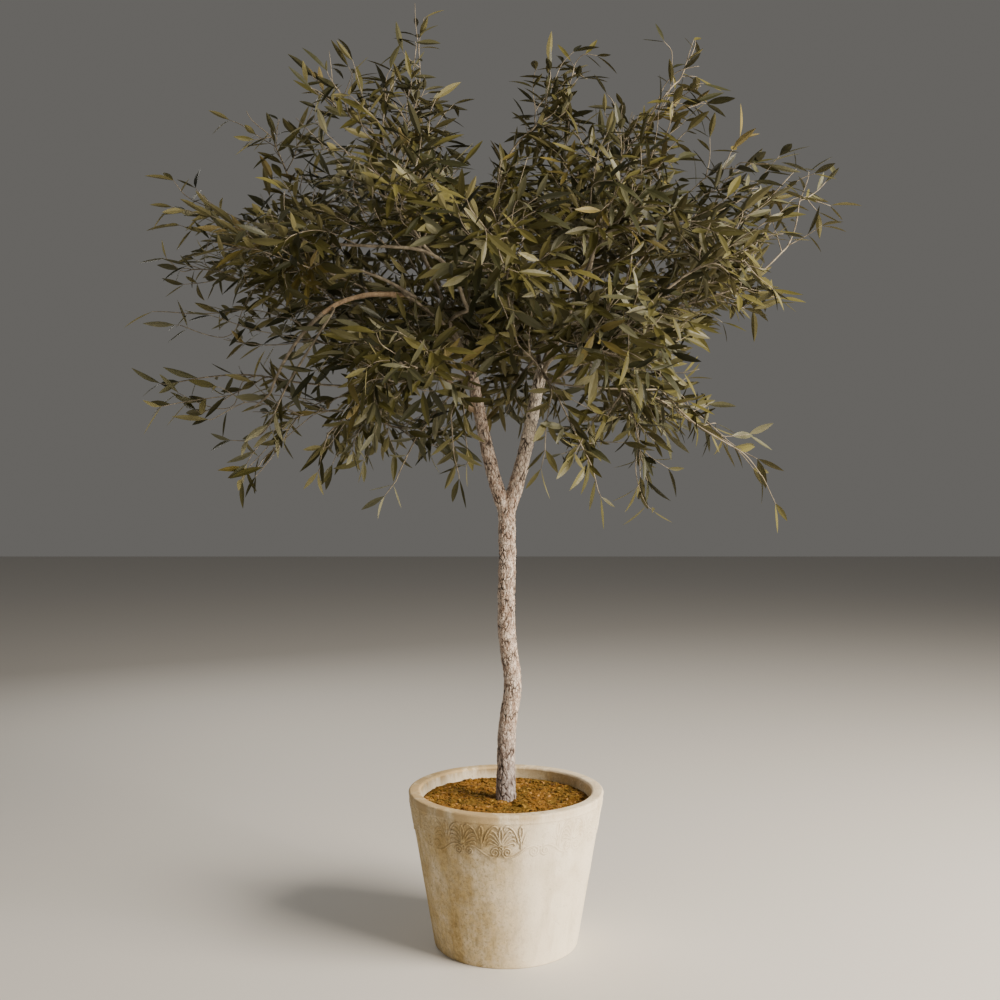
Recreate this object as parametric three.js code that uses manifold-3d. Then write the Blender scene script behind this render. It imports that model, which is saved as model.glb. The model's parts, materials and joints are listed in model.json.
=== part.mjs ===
// A potted olive tree: a conical cast stone pot, its soil, a slim trunk that forks in two, the main
// boughs, and the crown as separate masses of foliage.
// Millimetres, +Z up. The origin is the centre of the pot's flat underside. +X is the right of the
// crown, and -Y is its front.
import * as THREE from "three";
import { mergeVertices } from "three/addons/utils/BufferGeometryUtils.js";
import Module from "manifold-3d";

const wasm = await Module();
wasm.setup();

// ---------------------------------------------------------------- driving sizes

const gap = 0.4; // between pieces that touch

const pot = {
  height: 349,
  rimRadius: 225,
  footRadius: 164.5,
  wall: 27,
  floor: 36,
  lipRound: 5,
  footRound: 3,
  sides: 40,
};

const soil = {
  surface: 323.5, // height of the flat patch that the trunk stands on
  edgeDrop: 1, // the soil falls this much from there to the wall
  patchRadius: 60,
};

const trunk = {
  foot: soil.surface + gap,
  forkCut: 992, // height where the single stem ends and the crotch begins
  radius: 19.8,
  flare: 2.6, // extra radius at the soil
  flareHeight: 60,
  kink: { height: 590, offset: 16, spread: 78 }, // the bend to the right above the pot
  lean: { height: 900, offset: 3, spread: 90 }, // the slight lean to the right below the fork
  depthSway: 9,
  sides: 12,
  rings: 14,
};

// Every limb starts at a point, runs by way of its bend and ends at its tip. The side boughs start
// inside the limb or the foliage that carries them, and the arching one is split where it turns down.
const limbs = {
  bough_left: {
    from: [-4, 0, 985],
    bend: [-46, -2, 1110],
    to: [-90, 6, 1370],
    radius: 16.5,
    tipRadius: 12,
  },
  bough_right: {
    from: [6, 0, 985],
    bend: [46, 2, 1110],
    to: [84, -4, 1330],
    radius: 17.5,
    tipRadius: 12.5,
  },
  bough_left_side: {
    from: [-72, 2, 1218],
    bend: [-112, -8, 1265],
    to: [-200, -14, 1350],
    radius: 9,
    tipRadius: 7,
  },
  bough_left_arch: {
    from: [-160, -90, 1450],
    bend: [-300, -235, 1475],
    to: [-388, -232, 1402],
    radius: 6.5,
    tipRadius: 4.4,
  },
  bough_left_fall: {
    from: [-388.4, -232, 1401.6],
    bend: [-468, -230, 1336],
    to: [-520, -200, 1190],
    radius: 4.4,
    tipRadius: 2.2,
  },
};

const stubHeight = 1052; // each side of the fork belongs to the trunk up to here
const limbSides = 8;
const limbRings = 7;

// The masses of foliage, from the heart of the crown outwards. Each is an uneven lump: at places its
// middle, and size gives its half sizes along its bearing from the trunk, across it and upwards.
// rise tips its outer end up, in degrees, and a tip is drawn to a point at that end.
const masses = [
  { name: "heart", at: [-15, 0, 1440], size: [165, 170, 150] },
  { name: "heart_left", at: [-275, 0, 1440], size: [190, 175, 140] },
  { name: "heart_right", at: [280, -10, 1435], size: [190, 175, 130] },
  { name: "crown_left", at: [-245, 10, 1690], size: [180, 170, 135] },
  { name: "crown_right", at: [225, 10, 1650], size: [200, 170, 140] },
  { name: "saddle", at: [-30, -10, 1700], size: [115, 155, 115] },

  { name: "peak_left", at: [-212, 40, 1890], size: [105, 130, 130] },
  { name: "peak_right", at: [100, 20, 1900], size: [90, 110, 145] },
  { name: "peak_back", at: [-20, 195, 1785], size: [120, 120, 100] },
  { name: "shoulder_left", at: [-385, -40, 1885], size: [115, 125, 130] },
  { name: "shoulder_right", at: [315, -45, 1860], size: [130, 130, 125] },
  { name: "outer_left", at: [-455, 30, 1675], size: [140, 150, 115] },
  { name: "outer_right", at: [475, 30, 1660], size: [130, 150, 130] },
  { name: "middle_left", at: [-515, -70, 1520], size: [150, 120, 110] },
  { name: "middle_right", at: [540, -20, 1505], size: [125, 120, 95] },
  { name: "low_left", at: [-350, -60, 1190], size: [125, 130, 112] },
  { name: "low_right", at: [315, -10, 1240], size: [150, 140, 90] },
  { name: "skirt_left", at: [-172, -30, 1150], size: [85, 95, 92] },
  { name: "skirt_right", at: [176, -45, 1140], size: [82, 90, 95] },

  { name: "front_left", at: [-225, -275, 1295], size: [180, 165, 110] },
  { name: "front_right", at: [235, -290, 1340], size: [185, 165, 125] },
  { name: "front_middle", at: [0, -310, 1470], size: [150, 130, 100] },
  { name: "front_high_left", at: [-215, -290, 1640], size: [150, 160, 110] },
  { name: "front_high_right", at: [210, -290, 1640], size: [150, 160, 115] },
  { name: "front_side_left", at: [-460, -280, 1530], size: [150, 150, 95] },
  { name: "front_side_right", at: [450, -280, 1540], size: [140, 150, 105] },
  { name: "back_left", at: [-265, 330, 1420], size: [160, 180, 125] },
  { name: "back_right", at: [275, 320, 1430], size: [160, 180, 125] },
  { name: "back_middle", at: [0, 400, 1500], size: [160, 150, 140] },
  { name: "back_high_left", at: [-185, 310, 1700], size: [150, 160, 125] },
  { name: "back_high_right", at: [195, 300, 1690], size: [150, 160, 125] },
  { name: "back_side_left", at: [-470, 290, 1560], size: [140, 170, 115] },
  { name: "back_side_right", at: [470, 280, 1560], size: [140, 170, 115] },
  { name: "back_low", at: [10, 215, 1290], size: [120, 150, 100] },
  { name: "back_low_left", at: [-330, 230, 1240], size: [120, 130, 90] },
  { name: "back_low_right", at: [320, 230, 1240], size: [120, 130, 90] },

  { name: "tip_peak_left", at: [-210, 25, 2050], size: [95, 60, 60], rise: 86, tip: true },
  { name: "tip_peak_right", at: [155, 45, 2025], size: [90, 65, 65], rise: 50, tip: true },
  { name: "tip_shoulder_left", at: [-530, -20, 1850], size: [105, 75, 75], rise: 15, tip: true },
  { name: "tip_shoulder_right", at: [398, -35, 1958], size: [125, 130, 115], rise: 66, tip: true },
  { name: "tip_brow_right", at: [525, 0, 1775], size: [115, 95, 85], rise: 22, tip: true },
  { name: "tip_high_left", at: [-655, 50, 1672], size: [150, 95, 120], rise: 28, tip: true },
  { name: "tip_high_right", at: [665, 35, 1722], size: [155, 95, 100], rise: 14, tip: true },
  { name: "tip_side_right", at: [640, 20, 1610], size: [130, 80, 65], rise: 10, tip: true },
  { name: "tip_middle_left", at: [-685, -10, 1545], size: [140, 90, 75], rise: 3, tip: true },
  { name: "tip_under_left", at: [-590, -65, 1400], size: [215, 95, 85], rise: 4, tip: true },
  { name: "tip_low_left", at: [-590, -150, 1222], size: [158, 105, 85], rise: 0, tip: true },
  { name: "tip_fall_left", at: [-520, -160, 1125], size: [125, 90, 85], rise: -58, tip: true },
  { name: "tip_low_right", at: [490, -40, 1155], size: [160, 70, 65], rise: -36, tip: true },
  { name: "tip_fall_right", at: [307, -55, 1065], size: [120, 70, 65], rise: -84, tip: true },
  { name: "tip_front", at: [-40, -510, 1505], size: [140, 150, 105], rise: 5, tip: true },
  { name: "tip_back", at: [-20, 585, 1555], size: [140, 150, 105], rise: 8, tip: true },
];

const lump = {
  detail: 1, // subdivisions of the icosahedron
  depth: 0.16, // how far the lumps stand out, as a share of the radius
  waves: 4,
  tipTaper: 0.62, // a tip's section shrinks by this much towards its outer end
};

// ---------------------------------------------------------------- materials

const finish = (color, roughness) => new THREE.MeshStandardMaterial({ color, roughness, metalness: 0 });
const castStone = finish(0xcbbd9d, 0.85);
const barkMulch = finish(0x8f6a2c, 0.95);
const paleBark = finish(0xa8998c, 0.8);
const oliveLeaves = finish(0x6d6a3a, 0.7);

// ---------------------------------------------------------------- helpers

// A closed geometry as a manifold solid.
function solidOf(geometry) {
  const bare = geometry.clone();
  bare.deleteAttribute("normal");
  bare.deleteAttribute("uv");
  const merged = mergeVertices(bare, 1e-3);
  return new wasm.Manifold(
    new wasm.Mesh({
      numProp: 3,
      vertProperties: merged.attributes.position.array,
      triVerts: new Uint32Array(merged.index.array),
    }),
  );
}

// The largest piece of a solid as a named three.js mesh.
function meshOf(solid, name, material) {
  const pieces = solid.decompose().sort((a, b) => b.volume() - a.volume());
  const { vertProperties, triVerts } = pieces[0].getMesh();
  const geometry = new THREE.BufferGeometry()
    .setAttribute("position", new THREE.BufferAttribute(vertProperties, 3))
    .setIndex(new THREE.BufferAttribute(triVerts, 1));
  geometry.computeVertexNormals();
  const mesh = new THREE.Mesh(geometry, material);
  mesh.name = name;
  return mesh;
}

// The same geometry with its surface pushed out by a distance.
function swollen(geometry, distance) {
  const bare = geometry.clone();
  bare.deleteAttribute("normal");
  bare.deleteAttribute("uv");
  const merged = mergeVertices(bare, 1e-3);
  merged.computeVertexNormals();
  const position = merged.attributes.position;
  const normal = merged.attributes.normal;
  for (let i = 0; i < position.count; i++) {
    position.setXYZ(
      i,
      position.getX(i) + normal.getX(i) * distance,
      position.getY(i) + normal.getY(i) * distance,
      position.getZ(i) + normal.getZ(i) * distance,
    );
  }
  return merged;
}

// A generator of the same random numbers, from 0 to 1, each time for one seed.
function randomFrom(seed) {
  let state = seed >>> 0;
  return () => {
    state = (Math.imul(state, 1664525) + 1013904223) >>> 0;
    return state / 4294967296;
  };
}

// Points of a quarter circle in a lathe profile, centre first.
function roundCorner(x, y, radius, startDeg, endDeg, steps = 3) {
  const points = [];
  for (let i = 0; i <= steps; i++) {
    const angle = THREE.MathUtils.degToRad(startDeg + ((endDeg - startDeg) * i) / steps);
    points.push(new THREE.Vector2(x + radius * Math.cos(angle), y + radius * Math.sin(angle)));
  }
  return points;
}

// ---------------------------------------------------------------- pot and soil

const outerRadiusAt = (z) => pot.footRadius + ((pot.rimRadius - pot.footRadius) * z) / pot.height;
const innerRadiusAt = (z) => outerRadiusAt(z) - pot.wall;

function buildPot() {
  const { height, lipRound, footRound, floor, sides } = pot;
  const lipCentreZ = height - lipRound;
  const profile = [
    new THREE.Vector2(0, 0),
    ...roundCorner(outerRadiusAt(footRound) - footRound, footRound, footRound, -90, 0, 2),
    ...roundCorner(outerRadiusAt(lipCentreZ) - lipRound, lipCentreZ, lipRound, 0, 90),
    ...roundCorner(innerRadiusAt(lipCentreZ) + lipRound, lipCentreZ, lipRound, 90, 180),
    new THREE.Vector2(innerRadiusAt(floor), floor),
    new THREE.Vector2(0, floor),
  ];
  const geometry = new THREE.LatheGeometry(profile, sides).rotateX(Math.PI / 2);
  return meshOf(solidOf(geometry), "pot", castStone);
}

function buildSoil() {
  const { surface, edgeDrop, patchRadius } = soil;
  const edge = surface - edgeDrop;
  const bottom = pot.floor + gap;
  const profile = [
    new THREE.Vector2(0, bottom),
    new THREE.Vector2(innerRadiusAt(bottom) - gap, bottom),
    new THREE.Vector2(innerRadiusAt(edge) - gap, edge),
    new THREE.Vector2(patchRadius * 2, surface - edgeDrop * 0.4),
    new THREE.Vector2(patchRadius, surface),
    new THREE.Vector2(0, surface),
  ];
  const geometry = new THREE.LatheGeometry(profile, pot.sides).rotateX(Math.PI / 2);
  return meshOf(solidOf(geometry), "soil", barkMulch);
}

// ---------------------------------------------------------------- trunk and boughs

// A smooth swelling of a given height centred on a point, for bends.
const bump = (z, { height, offset, spread }) => offset * Math.exp(-(((z - height) / spread) ** 2));

// A cylinder laid along a path. place(t) gives its centre, and radius(t) its radius, for t from 0 to 1.
function limbGeometry(place, radius, sides, rings) {
  const geometry = new THREE.CylinderGeometry(1, 1, 1, sides, rings).rotateX(Math.PI / 2);
  const position = geometry.attributes.position;
  const step = 1e-3;
  for (let i = 0; i < position.count; i++) {
    const t = position.getZ(i) + 0.5;
    const centre = place(t);
    const along = place(Math.min(t + step, 1)).sub(place(Math.max(t - step, 0))).normalize();
    const turn = new THREE.Quaternion().setFromUnitVectors(new THREE.Vector3(0, 0, 1), along);
    const offset = new THREE.Vector3(position.getX(i), position.getY(i), 0);
    offset.multiplyScalar(radius(t)).applyQuaternion(turn);
    position.setXYZ(i, centre.x + offset.x, centre.y + offset.y, centre.z + offset.z);
  }
  return geometry;
}

function stemGeometry() {
  const { foot, forkCut, radius, flare, flareHeight, kink, lean, depthSway, sides, rings } = trunk;
  const rise = forkCut - foot;
  const place = (t) => {
    const z = foot + t * rise;
    const ends = Math.sin(Math.PI * t);
    return new THREE.Vector3(bump(z, kink) + bump(z, lean), depthSway * ends * Math.sin(5 * t), z);
  };
  const width = (t) => radius + flare * Math.exp((-t * rise) / flareHeight) - 1.2 * t;
  return limbGeometry(place, width, sides, rings);
}

function limbAlong({ from, bend, to, radius, tipRadius }) {
  const start = new THREE.Vector3(...from);
  const curve = new THREE.QuadraticBezierCurve3(start, new THREE.Vector3(...bend), new THREE.Vector3(...to));
  const width = (t) => THREE.MathUtils.lerp(radius, tipRadius, t);
  return limbGeometry((t) => curve.getPoint(t), width, limbSides, limbRings);
}

// Everything above a height (side 1) or below it (side -1), as a big box.
function halfSpace(height, side) {
  const size = 4000;
  return solidOf(new THREE.BoxGeometry(size, size, size).translate(0, 0, height + (side * size) / 2));
}

const limbShapes = Object.fromEntries(Object.entries(limbs).map(([name, limb]) => [name, limbAlong(limb)]));

// The stem with the two short arms of its crotch.
function buildTrunk() {
  const arms = solidOf(limbShapes.bough_left).add(solidOf(limbShapes.bough_right));
  return meshOf(solidOf(stemGeometry()).add(arms.subtract(halfSpace(stubHeight, 1))), "trunk", paleBark);
}

// ---------------------------------------------------------------- foliage

// An icosahedron's surface drawn out into an uneven lump.
function massGeometry({ at, size, rise = 0, tip = false }, seed) {
  const [long, wide, tall] = size;
  const random = randomFrom(seed * 7919 + 11);
  const waves = Array.from({ length: lump.waves }, (_, k) => ({
    way: new THREE.Vector3(random() - 0.5, random() - 0.5, random() - 0.5).normalize(),
    pace: 2.2 + k,
    phase: random() * Math.PI * 2,
    share: 1 / (1 + 0.6 * k),
  }));
  const geometry = new THREE.IcosahedronGeometry(1, lump.detail);
  const position = geometry.attributes.position;
  const point = new THREE.Vector3();
  for (let i = 0; i < position.count; i++) {
    point.fromBufferAttribute(position, i);
    const swell = waves.reduce((sum, w) => sum + w.share * Math.sin(w.pace * point.dot(w.way) + w.phase), 0);
    const section = tip ? 1 - (lump.tipTaper * (point.x + 1)) / 2 : 1;
    point.multiplyScalar(1 + (lump.depth * swell) / lump.waves ** 0.5);
    position.setXYZ(i, point.x * long, point.y * wide * section, point.z * tall * section);
  }
  geometry.rotateY(THREE.MathUtils.degToRad(-rise));
  geometry.rotateZ(Math.atan2(at[1], at[0]));
  return geometry.translate(...at);
}

const massShapes = masses.map((mass, i) => massGeometry(mass, i + 1));
const massFences = massShapes.map((shape) => solidOf(swollen(shape, gap)));

// Each mass gives way to those before it in the list, and keeps a gap to them.
function buildMass(i) {
  let solid = solidOf(massShapes[i]);
  for (const fence of massFences.slice(0, i)) solid = solid.subtract(fence);
  return meshOf(solid, masses[i].name, oliveLeaves);
}

// ---------------------------------------------------------------- boughs

const foliage = massFences.reduce((all, fence) => all.add(fence));
const limbFence = (name) => solidOf(swollen(limbShapes[name], gap));

// What each bough is cut by where it starts.
const carriers = {
  bough_left: halfSpace(stubHeight + gap, -1),
  bough_right: halfSpace(stubHeight + gap, -1),
  bough_left_side: limbFence("bough_left"),
  bough_left_arch: foliage,
  bough_left_fall: limbFence("bough_left_arch"),
};

// A bough ends where it enters the foliage.
function buildBough(name) {
  return meshOf(solidOf(limbShapes[name]).subtract(carriers[name]).subtract(foliage), name, paleBark);
}

// ---------------------------------------------------------------- the tree

const tree = new THREE.Group();
tree.add(buildPot(), buildSoil(), buildTrunk());
for (const name of Object.keys(limbs)) tree.add(buildBough(name));
for (let i = 0; i < masses.length; i++) tree.add(buildMass(i));

export default tree;
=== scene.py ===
import json
import math
import random

import bmesh
import bpy
import numpy as np
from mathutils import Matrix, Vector, noise
from mathutils.bvhtree import BVHTree
from mathutils.kdtree import KDTree

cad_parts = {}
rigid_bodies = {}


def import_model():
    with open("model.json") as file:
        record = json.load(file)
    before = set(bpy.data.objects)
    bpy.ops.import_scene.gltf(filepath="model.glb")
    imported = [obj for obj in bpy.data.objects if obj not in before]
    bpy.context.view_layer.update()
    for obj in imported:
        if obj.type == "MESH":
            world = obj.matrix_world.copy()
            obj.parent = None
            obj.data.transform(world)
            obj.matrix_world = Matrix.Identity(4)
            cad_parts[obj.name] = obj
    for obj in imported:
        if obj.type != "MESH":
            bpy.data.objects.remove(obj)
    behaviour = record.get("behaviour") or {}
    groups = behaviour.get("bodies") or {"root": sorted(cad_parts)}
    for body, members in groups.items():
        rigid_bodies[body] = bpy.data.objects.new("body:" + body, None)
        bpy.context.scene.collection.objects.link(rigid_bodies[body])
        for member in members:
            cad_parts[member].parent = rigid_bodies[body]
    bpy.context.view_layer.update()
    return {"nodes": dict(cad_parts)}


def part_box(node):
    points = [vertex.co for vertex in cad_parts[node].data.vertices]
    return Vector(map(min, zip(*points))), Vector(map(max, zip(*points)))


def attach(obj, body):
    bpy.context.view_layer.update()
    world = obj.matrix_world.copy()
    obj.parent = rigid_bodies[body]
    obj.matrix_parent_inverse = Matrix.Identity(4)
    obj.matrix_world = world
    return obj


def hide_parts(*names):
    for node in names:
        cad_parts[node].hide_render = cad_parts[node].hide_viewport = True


# A potted olive tree: cast stone pot with a palmette frieze, mulch, forked trunk and open crown.
# Metres, +Z up, -Y towards the viewer.
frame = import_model()
scene = bpy.context.scene


# ---- small tools

def smoothStep(low, high, value):
    t = np.clip((value - low) / (high - low), 0.0, 1.0)
    return t * t * (3 - 2 * t)


def readPoints(mesh, what="co"):
    flat = np.empty(len(mesh.vertices) * 3)
    mesh.vertices.foreach_get(what, flat)
    return flat.reshape(-1, 3)


def nodePoints(name):
    return readPoints(frame["nodes"][name].data)


def nodeTriangles(name):
    mesh = frame["nodes"][name].data
    mesh.calc_loop_triangles()
    return np.array([t.vertices[:] for t in mesh.loop_triangles])


def writePoints(mesh, points):
    mesh.vertices.foreach_set("co", np.asarray(points, float).ravel())
    mesh.update()


def meshFrom(name, points, faces):
    mesh = bpy.data.meshes.new(name)
    mesh.from_pydata(points.tolist(), [], faces)
    return mesh


def smoothShade(mesh):
    mesh.polygons.foreach_set("use_smooth", [True] * len(mesh.polygons))


def addObject(name, data):
    made = bpy.data.objects.new(name, data)
    scene.collection.objects.link(made)
    return made


def addPiece(name, mesh, materials, nodes):
    piece = addObject(name, mesh)
    for material in materials:
        mesh.materials.append(material)
    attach(piece, "root")
    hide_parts(*nodes)
    print("made", name, sum(len(p.vertices) - 2 for p in mesh.polygons), "triangles")
    return piece


def appliedMesh(holder, name):
    # the mesh that an object's modifiers make, with the object gone
    modified = holder.evaluated_get(bpy.context.evaluated_depsgraph_get())
    mesh = bpy.data.meshes.new_from_object(modified)
    mesh.name = name
    rough = holder.data
    bpy.data.objects.remove(holder)
    bpy.data.meshes.remove(rough)
    return mesh


def turnedMesh(name, profile, turns):
    # a profile of (radius, height) turned about the Z axis, closed at both its ends on the axis
    weld = 1e-6
    bm = bmesh.new()
    verts = [bm.verts.new((x, 0, z)) for x, z in profile]
    for pair in zip(verts[:-1], verts[1:]):
        bm.edges.new(pair)
    rough = bpy.data.meshes.new(name + "_profile")
    bm.to_mesh(rough)
    bm.free()
    holder = addObject(name + "_profile", rough)
    screw = holder.modifiers.new("turn", "SCREW")
    screw.steps = turns
    screw.render_steps = turns
    screw.use_merge_vertices = True
    screw.merge_threshold = weld
    mesh = appliedMesh(holder, name)
    bm = bmesh.new()
    bm.from_mesh(mesh)
    bmesh.ops.remove_doubles(bm, verts=bm.verts, dist=weld)
    bmesh.ops.recalc_face_normals(bm, faces=bm.faces)
    bm.to_mesh(mesh)
    bm.free()
    smoothShade(mesh)
    return mesh


def addAttribute(mesh, name, values):
    attribute = mesh.attributes.new(name, "FLOAT", "POINT")
    attribute.data.foreach_set("value", np.asarray(values, np.float32))


def smoothCurve(points, steps):
    # a Catmull-Rom curve through the points, with the same number of steps in each stretch
    points = np.asarray(points, float)
    padded = np.vstack([2 * points[0] - points[1], points, 2 * points[-1] - points[-2]])
    t = (np.arange(steps) / steps)[:, None]
    out = []
    for i in range(len(points) - 1):
        a, b, c, d = padded[i : i + 4]
        out.append(0.5 * (2 * b + (c - a) * t + (2 * a - 5 * b + 4 * c - d) * t**2
                          + (3 * b - a - 3 * c + d) * t**3))
    return np.vstack(out + [points[-1:]])


def bezier(start, leaving, arriving, end, t):
    return (1 - t) ** 3 * start + 3 * (1 - t) ** 2 * t * leaving + 3 * (1 - t) * t**2 * arriving + t**3 * end


# ---- materials

def feed(material, node, values):
    # each of a node's inputs takes a link from a socket, or a plain value
    for key, value in values.items():
        if isinstance(value, bpy.types.NodeSocket):
            material.node_tree.links.new(value, node.inputs[key])
        else:
            node.inputs[key].default_value = value


def startMaterial(name, colour, roughness, specular):
    material = bpy.data.materials.new(name)
    material.use_nodes = True
    shader = material.node_tree.nodes["Principled BSDF"]
    feed(material, shader, {"Base Color": (*colour, 1), "Roughness": roughness,
                            "Specular IOR Level": specular})
    return material, shader


def addNode(material, kind, values=None, **settings):
    made = material.node_tree.nodes.new(kind)
    for key, value in settings.items():
        setattr(made, key, value)
    feed(material, made, values or {})
    return made


def objectPlace(material, scale=(1, 1, 1)):
    place = addNode(material, "ShaderNodeTexCoord").outputs["Object"]
    return addNode(material, "ShaderNodeMapping", {"Vector": place, "Scale": scale}).outputs[0]


def noiseOf(material, place, scale, detail=4, roughness=0.55):
    values = {"Vector": place, "Scale": scale, "Detail": detail, "Roughness": roughness}
    return addNode(material, "ShaderNodeTexNoise", values).outputs["Fac"]


def rampOf(material, factor, stops):
    made = addNode(material, "ShaderNodeValToRGB", {"Fac": factor})
    points = made.color_ramp.elements
    while len(points) < len(stops):
        points.new(0.5)
    for point, (position, colour) in zip(points, stops):
        point.position = position
        point.color = (*colour, 1)
    return made.outputs["Color"]


def mixOf(material, factor, first, second, mode="MIX"):
    # in a mix of colours the factor is input 0, the colours are inputs 6 and 7, and the result is output 2
    values = {0: factor}
    for index, colour in ((6, first), (7, second)):
        values[index] = colour if isinstance(colour, bpy.types.NodeSocket) else (*colour, 1)
    return addNode(material, "ShaderNodeMix", values, data_type="RGBA", blend_type=mode).outputs[2]


def rangeOf(material, value, low, high, toLow=0.0, toHigh=1.0):
    values = {"Value": value, "From Min": low, "From Max": high, "To Min": toLow, "To Max": toHigh}
    return addNode(material, "ShaderNodeMapRange", values, clamp=True).outputs["Result"]


def mathOf(material, operation, first, second):
    return addNode(material, "ShaderNodeMath", {0: first, 1: second}, operation=operation).outputs[0]


def timesOf(material, first, second):
    return mathOf(material, "MULTIPLY", first, second)


def attributeOf(material, name):
    return addNode(material, "ShaderNodeAttribute", attribute_name=name).outputs["Fac"]


def bumpOf(material, height, strength, distance):
    values = {"Height": height, "Strength": strength, "Distance": distance}
    return addNode(material, "ShaderNodeBump", values).outputs["Normal"]


# ---- camera, floor and lights

viewSettings = {
    "place": (-0.0138, -2.5336, 1.0321),
    "pitch": -0.43,  # degrees from level
    "lens": 39.6,
    "sensor": 36.0,
}


def addCamera():
    data = bpy.data.cameras.new("view")
    data.lens = viewSettings["lens"]
    data.sensor_width = viewSettings["sensor"]
    camera = addObject("view", data)
    camera.location = viewSettings["place"]
    camera.rotation_euler = (math.radians(90 + viewSettings["pitch"]), 0, 0)
    scene.camera = camera


studioSettings = {
    "floorSize": 30.0,
    "floorColour": (0.62, 0.60, 0.57),
    "worldColour": (0.86, 0.83, 0.78),
    "worldStrength": 0.16,
    # name: (place, what it faces, size, watts, colour)
    "lights": {
        "key": ((3.5, -1.8, 2.45), (0, 0, 0.9), 2.6, 625, (1.0, 0.90, 0.76)),
        "fill": ((-3.0, -2.6, 1.6), (0, 0, 0.9), 2.6, 16, (1.0, 0.95, 0.88)),
        "back": ((-1.6, 2.8, 2.8), (0, 0, 1.2), 2.0, 45, (1.0, 0.96, 0.88)),
    },
}


def addStudio():
    bm = bmesh.new()
    bmesh.ops.create_grid(bm, x_segments=1, y_segments=1, size=studioSettings["floorSize"] / 2)
    mesh = bpy.data.meshes.new("floor")
    bm.to_mesh(mesh)
    bm.free()
    floor = addObject("floor", mesh)
    mesh.materials.append(startMaterial("paleFloor", studioSettings["floorColour"], 0.8, 0.2)[0])
    world = bpy.data.worlds.new("studio")
    world.use_nodes = True
    background = world.node_tree.nodes["Background"]
    background.inputs["Color"].default_value = (*studioSettings["worldColour"], 1)
    background.inputs["Strength"].default_value = studioSettings["worldStrength"]
    scene.world = world
    for name, (place, target, width, watts, colour) in studioSettings["lights"].items():
        data = bpy.data.lights.new(name, "AREA")
        data.shape = "SQUARE"
        data.size = width
        data.energy = watts
        data.color = colour
        light = addObject(name, data)
        light.location = place
        light.rotation_euler = (Vector(target) - Vector(place)).to_track_quat("-Z", "Y").to_euler()


# ---- pot

potSettings = {
    "turns": 960,  # steps round the pot, a multiple of the number of motifs
    "motifs": 16,
    "frontMotif": math.radians(-3.1),  # turn of the palmette nearest the front
    "bandLow": 0.2555,  # foot of the frieze
    "bandHigh": 0.3335,
    "bandRow": 0.0014,
    "wallRow": 0.019,
    "relief": 0.0030,
    "unevenness": 0.0009,
    "unevenScales": (16, 70),  # of its wide swells and its fine ones
    "outerLip": 0.005,
    "innerLip": 0.006,
    "footRound": 0.003,
    "innerRows": (0.009, 0.018, 0.03),  # rows inside, below the lip
    "innerMiddle": 0.2,  # height of one more row inside
}

# The frieze is drawn in millimetres: across from a palmette's middle, and up from the band's foot.
# Each line is the points of a smooth curve, and the ones in half are drawn on both sides.
motifWidth = 85.0
friezeLines = {
    "half": {
        "arch": ((38.5, 33), (35, 43), (31, 53.5), (25.5, 63), (17.5, 69.5), (11, 70.5), (7.2, 67),
                 (7, 62.5)),
        "bud": ((0, 30), (2.6, 42), (3.4, 54), (2.2, 62), (0, 68)),
        "frond1": ((1.5, 30), (5, 42), (10, 53), (16, 60), (20.5, 60.5), (21.8, 57)),
        "frond2": ((2, 29), (8, 39), (15, 48), (22, 52.5), (26.5, 51.5), (27.2, 48)),
        "frond3": ((2.5, 28), (10, 34), (18, 40.5), (25, 43), (29.5, 41), (29.8, 37.5)),
        "frond4": ((3, 26.5), (11, 29), (19, 32.5), (25.5, 34), (29.5, 31.5), (29.2, 28.5)),
        "calyx": ((0, 25.5), (3.6, 21.5), (0, 16.5)),
        "lotusBud": ((42.5, 35), (40.6, 46), (38.6, 58), (39.8, 66), (42.5, 70)),
        "lotusStem": ((42.5, 36), (42.5, 21)),
    },
    "lineEdge": (0.2, 1.5),  # where a line starts to slope down, and where it ends, from its middle
    "grooveStart": (0.9, 1.9),  # the hollow beside a line comes in over this, and goes over the next
    "grooveEnd": (2.0, 5.0),
    "ledge": (75.5, 1.1, 0.35),  # the band's upper edge: how far up, its half width, share of the relief
    "spiralPlace": (13.5, 13.0),
    "spiralStart": 12.6,  # radius where the linking scroll rolls in
    "spiralEnd": 2.2,
    "spiralTurns": 1.8,
    "linkPull": 24.0,  # how far the scroll between two spirals keeps level at its ends
}


def spiralLine(over):
    # the scroll on one side of a palmette: it comes in over the spiral or under it, and rolls up
    x, y = friezeLines["spiralPlace"]
    first, last = friezeLines["spiralStart"], friezeLines["spiralEnd"]
    t = np.linspace(0, 1, 48)
    radius = first + (last - first) * t**0.8
    angle = math.pi / 2 + t * friezeLines["spiralTurns"] * 2 * math.pi
    side = 1 if over else -1
    return np.column_stack([x + radius * np.cos(angle), y + side * radius * np.sin(angle)])


def linkLine(over):
    # half of the scroll between two palmettes, from the top or the foot of one's spiral to half way
    x, y = friezeLines["spiralPlace"]
    side = 1 if over else -1
    start = np.array([x, y + side * friezeLines["spiralStart"]])
    end = np.array([motifWidth - x, y - side * friezeLines["spiralStart"]])
    pull = np.array([friezeLines["linkPull"], 0.0])
    t = np.linspace(0, 1, 33)[:, None]
    return bezier(start, start + pull, end - pull, end, t)[: len(t) // 2 + 1]


def lineDistance(points, line):
    start = line[:-1]
    step = line[1:] - start
    offset = points[:, None, :] - start[None]
    t = np.clip((offset * step).sum(2) / np.maximum((step**2).sum(1), 1e-12), 0, 1)
    return np.sqrt(((offset - t[..., None] * step) ** 2).sum(2)).min(1)


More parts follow.
